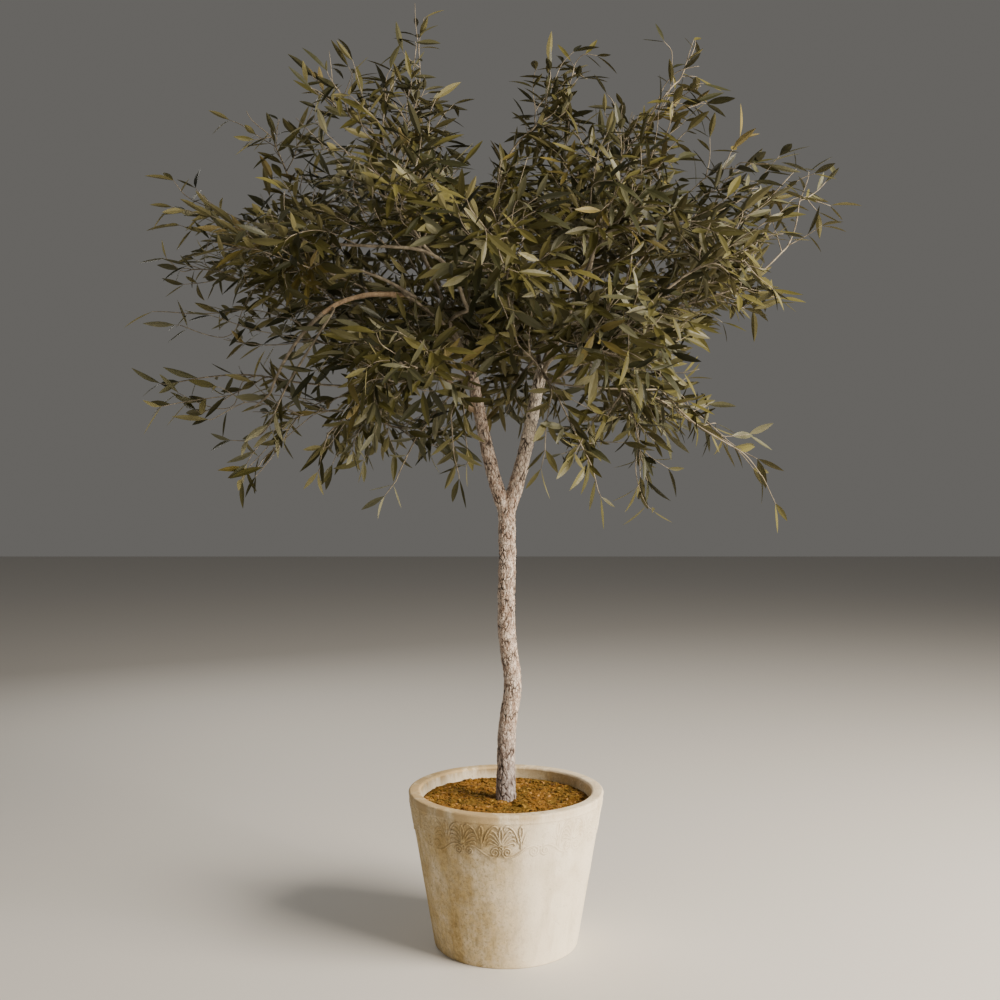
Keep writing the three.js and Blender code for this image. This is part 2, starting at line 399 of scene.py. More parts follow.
def motifDistance(across, up, over):
    # how far points of one motif are from its lines, all in millimetres
    points = np.column_stack([np.abs(across), up])
    lines = [smoothCurve(line, 6) for line in friezeLines["half"].values()]
    lines += [spiralLine(over), linkLine(over)]
    return np.min([lineDistance(points, line) for line in lines], axis=0)


# Where the relief has worn down, in degrees round the pot from the front, positive to the right.
wearSettings = {
    "bareFrom": (9.5, 12.5),  # one palmette is gone
    "bareTo": (27, 31),
    "bareAbove": (24, 30),  # millimetres up the band
    "faintFrom": (7, 13),
    "faintTo": (88, 120),
    "faintness": 0.62,
    "leftFrom": (-33, -44),  # fainter again on the left
    "leftTo": (-96, -70),
    "leftFaintness": 0.55,
}


def friezeWear(turn, up):
    # how much of the relief is left
    degrees = np.degrees((turn + math.pi) % (2 * math.pi) - math.pi)
    bare = smoothStep(*wearSettings["bareFrom"], degrees)
    bare *= 1 - smoothStep(*wearSettings["bareTo"], degrees)
    bare *= smoothStep(*wearSettings["bareAbove"], up)
    faint = smoothStep(*wearSettings["faintFrom"], degrees)
    faint *= 1 - smoothStep(*wearSettings["faintTo"], degrees)
    left = smoothStep(*wearSettings["leftFrom"], degrees) * smoothStep(*wearSettings["leftTo"], degrees)
    kept = (1 - bare) * (1 - wearSettings["faintness"] * faint)
    return kept * (1 - wearSettings["leftFaintness"] * left)


def buildPot():
    points = nodePoints("pot")
    radius = np.hypot(points[:, 0], points[:, 1])
    height = points[:, 2].max()
    lip, innerLip, footRound = [potSettings[key] for key in ("outerLip", "innerLip", "footRound")]
    footRadius = radius[points[:, 2] < 0.01].max()
    rimRadius = radius.max()
    innerRim = radius[points[:, 2] > height * 0.9].min()
    floorHeight = points[(radius < 0.01) & (points[:, 2] > 0.005), 2].max()
    innerFoot = radius[np.abs(points[:, 2] - floorHeight) < 1e-4].max()
    lipHeight = height - lip

    def outerAt(z):
        return footRadius + (rimRadius - footRadius) * (z - footRound) / (lipHeight - footRound)

    def innerAt(z):
        return innerFoot + (innerRim - innerFoot) * (z - floorHeight) / (lipHeight - floorHeight)

    def arc(x, z, size, start, end, steps):
        angles = np.radians(np.linspace(start, end, steps))
        return [(x + size * math.cos(a), z + size * math.sin(a)) for a in angles]

    low, high = potSettings["bandLow"], potSettings["bandHigh"]
    wallRows = np.linspace(2 * footRound, low, int(low / potSettings["wallRow"]))
    bandRows = np.arange(low, high, potSettings["bandRow"])[1:]
    innerRows = [lipHeight - down for down in potSettings["innerRows"]] + [potSettings["innerMiddle"]]
    profile = [(0, 0)] + arc(footRadius - footRound, footRound, footRound, -90, 0, 4)
    profile += [(outerAt(z), z) for z in np.concatenate([wallRows, bandRows])]
    profile += arc(rimRadius - lip, lipHeight, lip, 0, 90, 7)
    profile += arc(innerRim + innerLip, height - innerLip, innerLip, 90, 180, 7)
    profile += [(innerAt(z), z) for z in innerRows]
    profile += [(innerFoot, floorHeight), (0, floorHeight)]

    mesh = turnedMesh("pot_stone", profile, potSettings["turns"])
    points = readPoints(mesh)
    x, y, z = points.T
    radius = np.hypot(x, y)
    turn = np.arctan2(x, -y)
    up = (z - low) * 1000
    outside = (radius > outerAt(z) - 0.002) & (z > 0.004) & (z < lipHeight)
    distance = np.full(len(points), np.inf)
    cell = 2 * math.pi / potSettings["motifs"]
    place = (turn - potSettings["frontMotif"]) / cell
    nearest = np.round(place)
    across = (place - nearest) * motifWidth
    onBand = outside & (z > low) & (z < high)
    for over in (False, True):
        chosen = onBand & ((nearest % 2 == 1) == over)
        distance[chosen] = motifDistance(across[chosen], up[chosen], over)
    wear = friezeWear(turn, up)
    relief = (1 - smoothStep(*friezeLines["lineEdge"], distance)) * wear
    # beside each line, the hollow that the stone's colour darkens with dirt and painted shade
    hollowDirtShade = smoothStep(*friezeLines["grooveStart"], distance) * wear
    hollowDirtShade *= 1 - smoothStep(*friezeLines["grooveEnd"], distance)
    ledgeUp, ledgeHalf, ledgeShare = friezeLines["ledge"]
    ledge = np.exp(-((up - ledgeUp) / ledgeHalf) ** 2) * onBand * ledgeShare
    push = potSettings["relief"] * np.maximum(relief, ledge)
    wideScale, fineScale = potSettings["unevenScales"]
    for i in np.nonzero((z > 0.0005) & (radius > 0.05))[0]:
        spot = Vector(points[i])
        wide = noise.noise(spot * wideScale)
        fine = noise.noise(spot * fineScale)
        push[i] += potSettings["unevenness"] * (0.6 * wide + 0.4 * fine) * (1 if z[i] > 0.012 else 0.3)
    sideways = np.where(radius > 1e-6, radius, 1)
    inward = np.where((radius < innerAt(z) + 0.004) & (z < lipHeight), -1, 1)
    points[:, 0] += x / sideways * push * inward
    points[:, 1] += y / sideways * push * inward
    writePoints(mesh, points)
    addAttribute(mesh, "hollowDirtShade", hollowDirtShade)
    addAttribute(mesh, "inside", inward < 0)
    addPiece("pot_stone", mesh, [castStone()], ["pot"])


def castStone():
    material, shader = startMaterial("castStone", (0.7, 0.62, 0.5), 0.82, 0.25)
    place = objectPlace(material)
    split = addNode(material, "ShaderNodeSeparateXYZ", {"Vector": place})
    across, height = split.outputs["X"], split.outputs["Z"]
    cloud = noiseOf(material, place, 9.0, 5, 0.6)
    pale = rampOf(material, cloud, [(0.32, (0.76, 0.66, 0.48)), (0.5, (0.94, 0.83, 0.635)),
                                    (0.7, (0.97, 0.87, 0.675))])
    # runs of dirt down the whole wall
    runs = noiseOf(material, objectPlace(material, (1, 1, 0.1)), 38.0, 4, 0.6)
    pale = mixOf(material, rangeOf(material, runs, 0.52, 0.72, 0, 0.34), pale, (0.52, 0.42, 0.27))
    # ochre weathering, outside on the left and inside on the right, where the ochre is partly stain and
    # partly painted shade
    streaks = noiseOf(material, objectPlace(material, (1, 1, 0.16)), 24.0, 5, 0.65)
    patches = noiseOf(material, place, 13.0, 6, 0.7)
    mottle = noiseOf(material, place, 62.0, 5, 0.72)
    inside = attributeOf(material, "inside")
    outside = mathOf(material, "SUBTRACT", 1.0, inside)
    stainAndInnerShade = mathOf(material, "ADD", timesOf(material, rangeOf(material, across, 0.065, -0.05), outside),
                  timesOf(material, rangeOf(material, across, -0.02, 0.12), inside))
    amount = mathOf(material, "ADD", streaks, patches)
    amount = mathOf(material, "ADD", amount, timesOf(material, mottle, 0.7))
    stain = timesOf(material, rangeOf(material, amount, 1.05, 1.5, 0.30, 1.0), stainAndInnerShade)
    low = timesOf(material, rangeOf(material, height, 0.16, 0.0, 0.0, 0.04), stainAndInnerShade)
    ochre = rampOf(material, mottle, [(0.38, (0.38, 0.26, 0.10)), (0.6, (0.57, 0.425, 0.205))])
    weathered = mixOf(material, mathOf(material, "ADD", stain, low), pale, ochre)
    # dark grains and short streaks, thickest where the stone is stained
    grains = rangeOf(material, noiseOf(material, place, 150.0, 4, 0.8), 0.5, 0.66)
    short = noiseOf(material, objectPlace(material, (1, 1, 0.4)), 85.0, 5, 0.75)
    short = timesOf(material, rangeOf(material, short, 0.5, 0.66), 0.8)
    dirt = timesOf(material, mathOf(material, "MAXIMUM", grains, short),
                   mathOf(material, "ADD", timesOf(material, stainAndInnerShade, 0.66), 0.05))
    speckled = mixOf(material, dirt, weathered, (0.22, 0.16, 0.07))
    # dirt and painted shade in the hollows beside the frieze's lines
    caughtDirtShade = timesOf(material, attributeOf(material, "hollowDirtShade"),
                     rangeOf(material, mottle, 0.3, 0.6, 0.35, 0.85))
    carved = mixOf(material, caughtDirtShade, speckled, (0.30, 0.21, 0.10))
    # brown on the rim's edge, and painted shade that darkens and greys the wall inside, on its left and
    # middle
    rim = timesOf(material, rangeOf(material, height, 0.318, 0.342), rangeOf(material, streaks, 0.36, 0.54))
    rim = timesOf(material, rim, rangeOf(material, across, 0.14, 0.0, 0.35, 1.0))
    edged = mixOf(material, rim, carved, (0.46, 0.33, 0.17))
    shaded = timesOf(material, inside, rangeOf(material, across, 0.16, 0.04))
    withInnerShade = mixOf(material, shaded, edged, (0.66, 0.67, 0.67), "MULTIPLY")
    # a sandy grain with pits in it
    grain = noiseOf(material, place, 420.0, 4, 0.7)
    pits = rangeOf(material, noiseOf(material, place, 230.0, 3, 0.7), 0.58, 0.72)
    surface = mathOf(material, "SUBTRACT", grain, timesOf(material, pits, 1.4))
    feed(material, shader, {"Base Color": withInnerShade, "Normal": bumpOf(material, surface, 0.55, 0.0014)})
    return material


# ---- mulch

mulchSettings = {
    "seed": 5,
    "rings": 52,
    "turns": 170,
    "lumps": 0.0042,
    "lumpScales": (38, 95),
    "levelPast": 0.66,  # the bed slopes up from the wall over this share of the way in
    "chips": 5200,
    "chipSize": (0.0016, 0.0052),
    "clods": 26,
    "clodSize": (0.006, 0.0105),
    "trunkClear": 0.021,  # chips lie at least this far from the pot's middle
    "wallClear": 0.004,  # and at least this far from its wall
    "flatness": 0.42,
    # name: (colour, share among the chips, share among the clods)
    "tints": {
        "chipOchre": ((0.19, 0.086, 0.007), 36, 2),
        "chipOlive": ((0.13, 0.071, 0.005), 36, 1),
        "chipTan": ((0.26, 0.142, 0.018), 15, 3),
        "chipPale": ((0.34, 0.18, 0.05), 4, 1),
        "chipDark": ((0.09, 0.042, 0.007), 3.5, 0),
    },
}


def mulchLift(x, y):
    spot = Vector((x, y, 0.0))
    wide, fine = mulchSettings["lumpScales"]
    lift = noise.noise(spot * wide) + 0.55 * noise.noise(spot * fine + Vector((3, 1, 7)))
    return mulchSettings["lumps"] * lift


def buildMulch():
    points = nodePoints("soil")
    radius = np.hypot(points[:, 0], points[:, 1])
    surface = points[:, 2].max()
    bottom = points[:, 2].min()
    edge = radius.max()
    edgeHeight = points[radius > edge - 1e-4, 2].max()
    footRadius = radius[points[:, 2] < bottom + 1e-4].max()

    def levelAt(t):
        # the bed's height a share t of the way in from the wall
        return edgeHeight + (surface - edgeHeight) * min(1.0, t / mulchSettings["levelPast"])

    rings = mulchSettings["rings"]
    profile = [(0, bottom), (footRadius, bottom), (edge, edgeHeight)]
    profile += [(edge * (1 - i / rings), levelAt(i / rings)) for i in range(1, rings)]
    profile.append((0, surface))
    mesh = turnedMesh("mulch_bed", profile, mulchSettings["turns"])
    for vert in mesh.vertices:
        away = math.hypot(vert.co.x, vert.co.y)
        if vert.co.z > edgeHeight - 0.001 and away < edge - 0.0005:
            vert.co.z += mulchLift(vert.co.x, vert.co.y)
    addPiece("mulch_bed", mesh, [mulchBed()], ["soil"])
    scatterChips(edge, levelAt)


def scatterChips(edge, levelAt):
    # loose chips, each a flattened, uneven lump, and a few clods
    chooser = random.Random(mulchSettings["seed"])
    bm = bmesh.new()
    bmesh.ops.create_icosphere(bm, subdivisions=1, radius=1)
    bm.verts.ensure_lookup_table()
    base = np.array([v.co for v in bm.verts])
    faces = np.array([[v.index for v in f.verts] for f in bm.faces])
    bm.free()
    allPoints, allFaces, tints = [], [], []
    nearest, furthest = mulchSettings["trunkClear"], edge - mulchSettings["wallClear"]
    colours, chipShares, clodShares = zip(*mulchSettings["tints"].values())
    for i in range(mulchSettings["chips"]):
        isClod = i < mulchSettings["clods"]
        away = math.sqrt(chooser.uniform(nearest**2, furthest**2))
        turn = chooser.uniform(0, 2 * math.pi)
        x, y = away * math.cos(turn), away * math.sin(turn)
        least, most = mulchSettings["clodSize" if isClod else "chipSize"]
        size = least + (most - least) * chooser.random() ** 1.7
        length = size * chooser.uniform(0.9, 1.9)
        width = size * chooser.uniform(0.55, 0.95)
        rough = np.array([chooser.uniform(0.72, 1.2) for _ in base])[:, None]
        tilt = Vector((chooser.gauss(0, 0.35), chooser.gauss(0, 0.35), 1)).to_track_quat("Z", "Y")
        facing = Vector((math.cos(turn * 7), math.sin(turn * 7), 0))
        tilt.rotate(Vector((1, 0, 0)).rotation_difference(facing))
        lump = base * rough * np.array([length, width, size * mulchSettings["flatness"]])
        z = levelAt((edge - away) / edge) + mulchLift(x, y) + size * 0.12
        allPoints.append(lump @ np.array(tilt.to_matrix()).T + np.array([x, y, z]))
        allFaces.append(faces + i * len(base))
        # paler and darker patches, and warmer and cooler ones
        patch = math.exp(2.6 * noise.noise(Vector((x * 30, y * 30, 4.0))))
        warmth = math.exp(3.2 * noise.noise(Vector((x * 19, y * 19, 9.0))))
        leaning = (warmth, 1 / warmth, patch, patch * warmth, 1 / patch)
        shares = clodShares if isClod else [share * more for share, more in zip(chipShares, leaning)]
        tints.append(chooser.choices(range(len(colours)), shares)[0])
    mesh = meshFrom("mulch_chips", np.vstack(allPoints), np.vstack(allFaces).tolist())
    mesh.polygons.foreach_set("material_index", np.repeat(tints, len(faces)))
    materials = [startMaterial(name, tint[0], 0.85, 0.3)[0] for name, tint in mulchSettings["tints"].items()]
    addPiece("mulch_chips", mesh, materials, ["soil"])


def mulchBed():
    material, shader = startMaterial("mulchBed", (0.2, 0.1, 0.03), 0.92, 0.2)
    place = objectPlace(material)
    grains = noiseOf(material, place, 130.0, 6, 0.7)
    colour = rampOf(material, grains, [(0.34, (0.07, 0.03, 0.004)), (0.48, (0.16, 0.072, 0.007)),
                                       (0.6, (0.27, 0.14, 0.015)), (0.74, (0.38, 0.22, 0.05))])
    feed(material, shader, {"Base Color": colour, "Normal": bumpOf(material, grains, 0.9, 0.004)})
    return material


# ---- limbs: a tree of nodes, each with a place and the node it grows from

class Tree:
    def __init__(self):
        self.place = []
        self.parent = []
        self.heading = []
        self.path = []
        self.least = []  # least radius
        self.skinned = []  # whether the bark skin covers it

    def add(self, place, parent, least=0.0, skinned=False):
        place = np.asarray(place, float)
        heading, path = np.array([0.0, 0.0, 1.0]), 0.0
        if parent >= 0:
            step = place - self.place[parent]
            length = np.linalg.norm(step)
            heading = step / max(length, 1e-9)
            path = self.path[parent] + length
        self.place.append(place)
        self.parent.append(parent)
        self.heading.append(heading)
        self.path.append(path)
        self.least.append(least)
        self.skinned.append(skinned)
        return len(self.place) - 1

    def addChain(self, places, parent, least=None, skinned=False):
        for i, place in enumerate(places):
            parent = self.add(place, parent, 0.0 if least is None else least[i], skinned)
        return parent


def sections(name, along, stations):
    # centres and radii of a CAD limb where planes across it cut its triangles
    points = nodePoints(name)
    triangles = nodeTriangles(name)
    height = points @ np.asarray(along, float)
    low, high = height.min(), height.max()
    centres, radii = [], []
    for share in stations:
        level = low + (high - low) * share
        cuts = []
        for a, b in ((0, 1), (1, 2), (2, 0)):
            first, second = triangles[:, a], triangles[:, b]
            crossed = (height[first] - level) * (height[second] - level) < 0
            first, second = first[crossed], second[crossed]
            t = ((level - height[first]) / (height[second] - height[first]))[:, None]
            cuts.append(points[first] + t * (points[second] - points[first]))
        cut = np.vstack(cuts)
        centre = (cut.max(0) + cut.min(0)) / 2
        centres.append(centre)
        radii.append(np.linalg.norm(cut - centre, axis=1).mean())
    return np.array(centres), np.array(radii)


limbSettings = {
    "stemStations": 26,
    "forkBelowTop": 0.062,  # the crotch, below the top of the trunk's two arms
    "boughStations": 9,
    "sink": 0.012,  # of the trunk's foot into the mulch
    "swell": 1.075,  # makes up for the flats of the frame's limbs and for the cracks
    "ends": (0.03, 0.97),  # shares of a bough's length at its first and last stations
}


def readLimbs():
    # the centre lines and radii of the limbs that show, from the frame
    low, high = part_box("trunk")
    crotch = 1 - limbSettings["forkBelowTop"] / (high.z - low.z)
    stations = np.linspace(0.002, crotch, limbSettings["stemStations"])
    stem, stemRadii = sections("trunk", (0, 0, 1), stations)
    stem[0, 2] = low.z - limbSettings["sink"]
    ends = np.linspace(*limbSettings["ends"], limbSettings["boughStations"])
    limbs = {"stem": (stem, stemRadii)}
    for name in ("bough_left", "bough_right"):
        centres, radii = sections(name, (0, 0, 1), ends)
        slope = (centres[1] - centres[0]) / (centres[1, 2] - centres[0, 2])
        foot = centres[0] + slope * (stem[-1, 2] - centres[0, 2])
        foot[0] = foot[0] * 0.5 + stem[-1, 0] * 0.5
        centres = np.vstack([foot, (foot + centres[0]) / 2, centres])
        limbs[name] = (centres, np.append([radii[0]] * 2, radii))
    for name in ("bough_left_side", "bough_left_arch", "bough_left_fall"):
        points = nodePoints(name)
        axis = np.linalg.svd(points - points.mean(0), full_matrices=False)[2][0]
        axis = axis if axis[0] < 0 else -axis
        limbs[name] = sections(name, axis, ends)
    for centres, radii in limbs.values():
        radii *= limbSettings["swell"]
    return limbs


def tubeFaces(rings, sides):
    # quads between rings, and a fan on to one extra point at each end
    quads = []
    for i in range(rings - 1):
        for j in range(sides):
            k = (j + 1) % sides
            quads.append((i * sides + j, i * sides + k, (i + 1) * sides + k, (i + 1) * sides + j))
    start, end = rings * sides, rings * sides + 1
    last = (rings - 1) * sides
    for j in range(sides):
        k = (j + 1) % sides
        quads.append((start, k, j))
        quads.append((end, last + j, last + k))
    return quads


def framesAlong(path):
    # directions ahead, and two across, that turn as little as they can along a path
    ahead = np.gradient(path, axis=0)
    ahead /= np.maximum(np.linalg.norm(ahead, axis=1), 1e-9)[:, None]
    side = np.cross(ahead[0], (0.3, 0.9, 0.2))
    sides = np.empty_like(ahead)
    for i, forward in enumerate(ahead):
        side = side - forward * side.dot(forward)
        side /= max(np.linalg.norm(side), 1e-9)
        sides[i] = side
    return ahead, sides, np.cross(ahead, sides)


def tube(path, radii, sides):
    path = np.asarray(path, float)
    radii = np.asarray(radii, float)
    ahead, first, second = framesAlong(path)
    turns = np.arange(sides) * 2 * math.pi / sides
    ring = first[:, None] * np.cos(turns)[:, None] + second[:, None] * np.sin(turns)[:, None]
    points = (path[:, None] + radii[:, None, None] * ring).reshape(-1, 3)
    start = path[:1] - ahead[:1] * radii[0] * 0.3
    end = path[-1:] + ahead[-1:] * radii[-1] * 0.6
    return np.vstack([points, start, end]), tubeFaces(len(path), sides)


def joinTubes(tubes):
    points, faces, count = [], [], 0
    for tubePoints, tubeQuads in tubes:
        points.append(tubePoints)
        faces.extend(tuple(v + count for v in face) for face in tubeQuads)
        count += len(tubePoints)
    return np.vstack(points), faces


barkSettings = {
    "seed": 3,
    "voxel": 0.0017,
    "plateWidth": 0.0092,
    "plateStretch": 0.33,  # plates are this much of their height wide
    "crackDepth": 0.0020,
    "crackWidth": 0.2,
    "lumps": 0.0014,
    "fineLumps": 0.0008,
    "warp": 0.0035,  # of the plates' outlines
    "smoothBelow": 0.007,  # limbs thinner than this have no cracks
    "crackedAbove": 0.012,
    "sides": 20,
}


def buildBark(limbs):
    # one skin over the stem and the boughs that show, then plates and cracks; the thin end of the
    # arching limb is left to the crown
    skinned = {name: limb for name, limb in limbs.items() if name != "bough_left_fall"}
    tubes, line, widths = [], [], []
    for centres, radii in skinned.values():
        path = smoothCurve(centres, 4)
        wide = smoothCurve(np.column_stack([radii, radii]), 4)[:, 0]
        tubes.append(tube(path, wide, barkSettings["sides"]))
        line.extend(path)
        widths.extend(wide)
    finder = KDTree(len(line))
    for i, place in enumerate(line):
        finder.insert(place, i)
    finder.balance()
    holder = addObject("bark_rough", meshFrom("bark_rough", *joinTubes(tubes)))
    remesh = holder.modifiers.new("skin", "REMESH")
    remesh.mode = "VOXEL"
    remesh.voxel_size = barkSettings["voxel"]
    settle = holder.modifiers.new("settle", "SMOOTH")
    settle.factor = 0.5
    settle.iterations = 6
    mesh = appliedMesh(holder, "bark")
    points = readPoints(mesh)
    normals = readPoints(mesh, "normal")
    size = 1 / barkSettings["plateWidth"]
    noise.seed_set(barkSettings["seed"])  # noise vectors differ from run to run without it
    push, cracks, thick = np.empty((3, len(points)))
    for i, point in enumerate(points):
        spot = Vector(point)
        thick[i] = widths[finder.find(spot)[1]]
        warped = (spot + noise.noise_vector(spot * 55) * barkSettings["warp"]) * size
        warped.z *= barkSettings["plateStretch"]
        near = noise.voronoi(warped)[0]
        crack = 1 - min(1.0, (near[1] - near[0]) / barkSettings["crackWidth"])
        broken = noise.noise(spot * 48 + Vector((5, 2, 1)))  # cracks fade in and out
        foot = smoothStep(0.5, 0.36, spot.z)
        crack *= min(1.0, max(0.0, 0.62 + 0.4 * foot + 1.5 * broken))
        cracks[i] = crack
        push[i] = barkSettings["lumps"] * noise.noise(spot * 42)
        push[i] += barkSettings["fineLumps"] * noise.noise(spot * 150)
    old = smoothStep(barkSettings["smoothBelow"], barkSettings["crackedAbove"], thick)
    cracks *= old
    push = push * (0.35 + 0.65 * old) - barkSettings["crackDepth"] * cracks
    points += normals * push[:, None]
    writePoints(mesh, points)
    smoothShade(mesh)
    addAttribute(mesh, "crack", cracks)
    addAttribute(mesh, "old", old)
    nodes = ["trunk" if name == "stem" else name for name in skinned]
    addPiece("bark", mesh, [barkMaterial()], nodes)


def barkMaterial():
    material, shader = startMaterial("oliveBark", (0.42, 0.33, 0.28), 0.8, 0.3)
    split = addNode(material, "ShaderNodeSeparateXYZ", {"Vector": objectPlace(material)})
    across, height = split.outputs["X"], split.outputs["Z"]
    cloud = noiseOf(material, objectPlace(material, (1, 1, 0.4)), 130.0, 6, 0.75)
    warm = rampOf(material, cloud, [(0.34, (0.19, 0.11, 0.072)), (0.47, (0.46, 0.345, 0.27)),
                                    (0.62, (0.76, 0.655, 0.565))])
    cool = rampOf(material, cloud, [(0.34, (0.12, 0.10, 0.10)), (0.48, (0.27, 0.238, 0.24)),
                                    (0.66, (0.52, 0.472, 0.472))])
    # cooler and greyer towards the foot, and painted light: paler up the right bough, most on its right
    low = rangeOf(material, height, 0.52, 0.34)
    base = mixOf(material, timesOf(material, low, 0.85), warm, cool)
    # painted light on the right bough
    upper = timesOf(material, rangeOf(material, height, 1.02, 1.22),
                    rangeOf(material, across, 0.0, 0.05, 0.1, 0.9))
    upper = timesOf(material, upper, rangeOf(material, across, 0.25, 0.18))
    base = mixOf(material, upper, base, (0.88, 0.79, 0.68))
    # finer cracks between scales a few millimetres wide
    old = attributeOf(material, "old")
    values = {"Vector": objectPlace(material, (1, 1, 0.55)), "Scale": 170.0}
    scales = addNode(material, "ShaderNodeTexVoronoi", values, feature="DISTANCE_TO_EDGE").outputs["Distance"]
    fine = noiseOf(material, objectPlace(material, (1, 1, 0.45)), 260.0, 5, 0.75)
    flecks = timesOf(material, rangeOf(material, scales, 0.16, 0.03), rangeOf(material, fine, 0.40, 0.56))
    fewer = timesOf(material, old, mathOf(material, "SUBTRACT", 1.0, timesOf(material, low, 0.5)))
    flecks = timesOf(material, flecks, fewer)
    # the cracks and flecks are darkened almost to black: painted shade in them
    deep = rangeOf(material, attributeOf(material, "crack"), 0.15, 0.75, 0, 0.95)
    shade = mathOf(material, "MAXIMUM", deep, timesOf(material, flecks, 0.78))
    dark = mixOf(material, shade, base, (0.035, 0.02, 0.014))
    young = rampOf(material, cloud, [(0.35, (0.22, 0.145, 0.085)), (0.65, (0.42, 0.31, 0.20))])
    relief = mathOf(material, "SUBTRACT", fine, timesOf(material, flecks, 0.8))
    feed(material, shader, {"Base Color": mixOf(material, old, young, dark),
                            "Normal": bumpOf(material, relief, 0.8, 0.002)})
    return material


# ---- crown: limbs and twigs grow towards points scattered in the masses of foliage

crownSettings = {
    "seed": 11,
    "spacing": 0.0345,  # between the points that twigs reach for
    "inset": 0.036,  # of those points from the crown's outside, where the leaves go on past them
    "tipInset": 0.014,  # the same in the slim masses at the tips
    "limbStep": 0.03,
    "limbThrift": 0.35,  # 0 joins each mass to the nearest limb, 1 gives it a limb of its own
    "twigThrift": 0.28,
    "turnCost": 0.9,  # price of a sharp turn in a twig
    "limbTurnCost": 0.4,
    "leaving": 0.33,  # how far a limb keeps its carrier's heading, as a share of its reach
    "arriving": 0.36,
    "arch": 0.05,  # rise of a limb over its reach, where it leads to one that shows
    "lowArch": 0.16,  # the same where it runs to a low mass
    "highArch": 0.10,
    "tipArch": 0.02,
    "lowMass": 0.3,  # masses whose middles are less than this above the crotch are low
    "lowest": 0.29,  # limbs leave the boughs at least this far above the crotch
    "tipRadius": 0.00095,
    "pipe": 3.0,  # limbs thicken as the number of twig ends beyond them to one over this
    "barePart": 0.085,  # of a tip's main twig, short of the mass's end
    "easing": 0.38,  # how far each round of smoothing moves a twig's nodes
    "gapSpare": 0.012,  # twigs reach for no point this close to a gap
    "sparser": {  # wider spacing where the crown is open
        "tip_low_left": 1.25, "tip_fall_left": 1.25, "tip_under_left": 1.35, "tip_low_right": 1.15,
        "tip_high_left": 1.1, "tip_high_right": 1.12, "tip_middle_left": 1.15, "tip_side_right": 1.15,
        "tip_fall_right": 1.05, "low_left": 1.15, "middle_left": 1.08, "shoulder_right": 1.12,
        "tip_shoulder_right": 1.25, "shoulder_left": 1.15, "tip_brow_right": 1.15, "outer_left": 1.1,
        "low_right": 1.12, "middle_right": 1.12, "outer_right": 1.08, "heart_right": 1.06,
    },
    # limbs that show through the leaves: their routes, and radii at both ends
    "guides": [
        ([(-0.085, -0.12, 1.43), (-0.116, -0.17, 1.50), (-0.175, -0.21, 1.54), (-0.31, -0.24, 1.545),
          (-0.48, -0.25, 1.549), (-0.566, -0.24, 1.538)], (0.0045, 0.0025)),
        ([(-0.19, -0.24, 1.437), (-0.25, -0.25, 1.470), (-0.304, -0.25, 1.491)], (0.004, 0.0025)),
        ([(-0.36, -0.24, 1.41), (-0.455, -0.235, 1.26), (-0.505, -0.22, 1.165), (-0.555, -0.2, 1.14)],
         (0.0026, 0.0013)),
        ([(-0.095, -0.12, 1.24), (-0.09, -0.115, 1.16), (-0.083, -0.10, 1.10)], (0.0018, 0.0012)),
        ([(-0.12, -0.14, 1.20), (-0.115, -0.13, 1.12), (-0.105, -0.11, 1.07)], (0.0018, 0.0012)),
        ([(0.10, -0.11, 1.25), (0.088, -0.12, 1.18), (0.085, -0.11, 1.12)], (0.0018, 0.0012)),
        ([(0.16, -0.08, 1.15), (0.19, -0.08, 1.09), (0.205, -0.08, 1.035)], (0.0018, 0.0012)),
        ([(-0.39, -0.12, 1.16), (-0.405, -0.12, 1.115), (-0.41, -0.11, 1.085)], (0.0018, 0.0012)),
        ([(-0.20, -0.1, 1.15), (-0.225, -0.1, 1.10), (-0.245, -0.1, 1.055)], (0.0018, 0.0012)),
        ([(-0.46, -0.15, 1.27), (-0.56, -0.15, 1.285), (-0.65, -0.15, 1.28), (-0.735, -0.15, 1.265)],
         (0.0021, 0.0011)),
        ([(0.34, -0.1, 1.257), (0.407, -0.1, 1.191), (0.474, -0.1, 1.147), (0.529, -0.1, 1.113),
          (0.57, -0.1, 1.06)], (0.0021, 0.0011)),
    ],
}


# Gaps seen from the front: x and z in the trunk's plane, and radius there. From the viewing place
# each is a cone that twigs reach for nothing in, and that leaves keep out of.
gaps = [
    (0.647, 1.561, 0.058), (0.498, 1.340, 0.055), (-0.613, 1.732, 0.052), (0.189, 1.946, 0.034),
    (0.309, 1.946, 0.042), (0.488, 1.999, 0.042), (-0.502, 1.934, 0.045), (-0.382, 1.861, 0.030),
    (-0.152, 2.015, 0.040), (-0.394, 1.266, 0.034), (-0.447, 1.174, 0.036), (-0.617, 1.209, 0.030),
    (-0.693, 1.382, 0.040), (-0.631, 1.955, 0.050), (-0.417, 2.096, 0.050), (0.445, 2.110, 0.035),
    (-0.871, 1.497, 0.050), (-0.871, 1.370, 0.046), (-0.064, 1.773, 0.036),
]
gapPlaces = np.array([gap[:2] for gap in gaps])
gapRadii = np.array([gap[2] for gap in gaps])


def inGap(point, spare=0.0):
    eye = np.array(viewSettings["place"])
    seen = eye + (np.asarray(point) - eye) * (eye[1] / (eye[1] - point[1]))
    return bool((np.hypot(*(gapPlaces - seen[[0, 2]]).T) < gapRadii + spare).any())


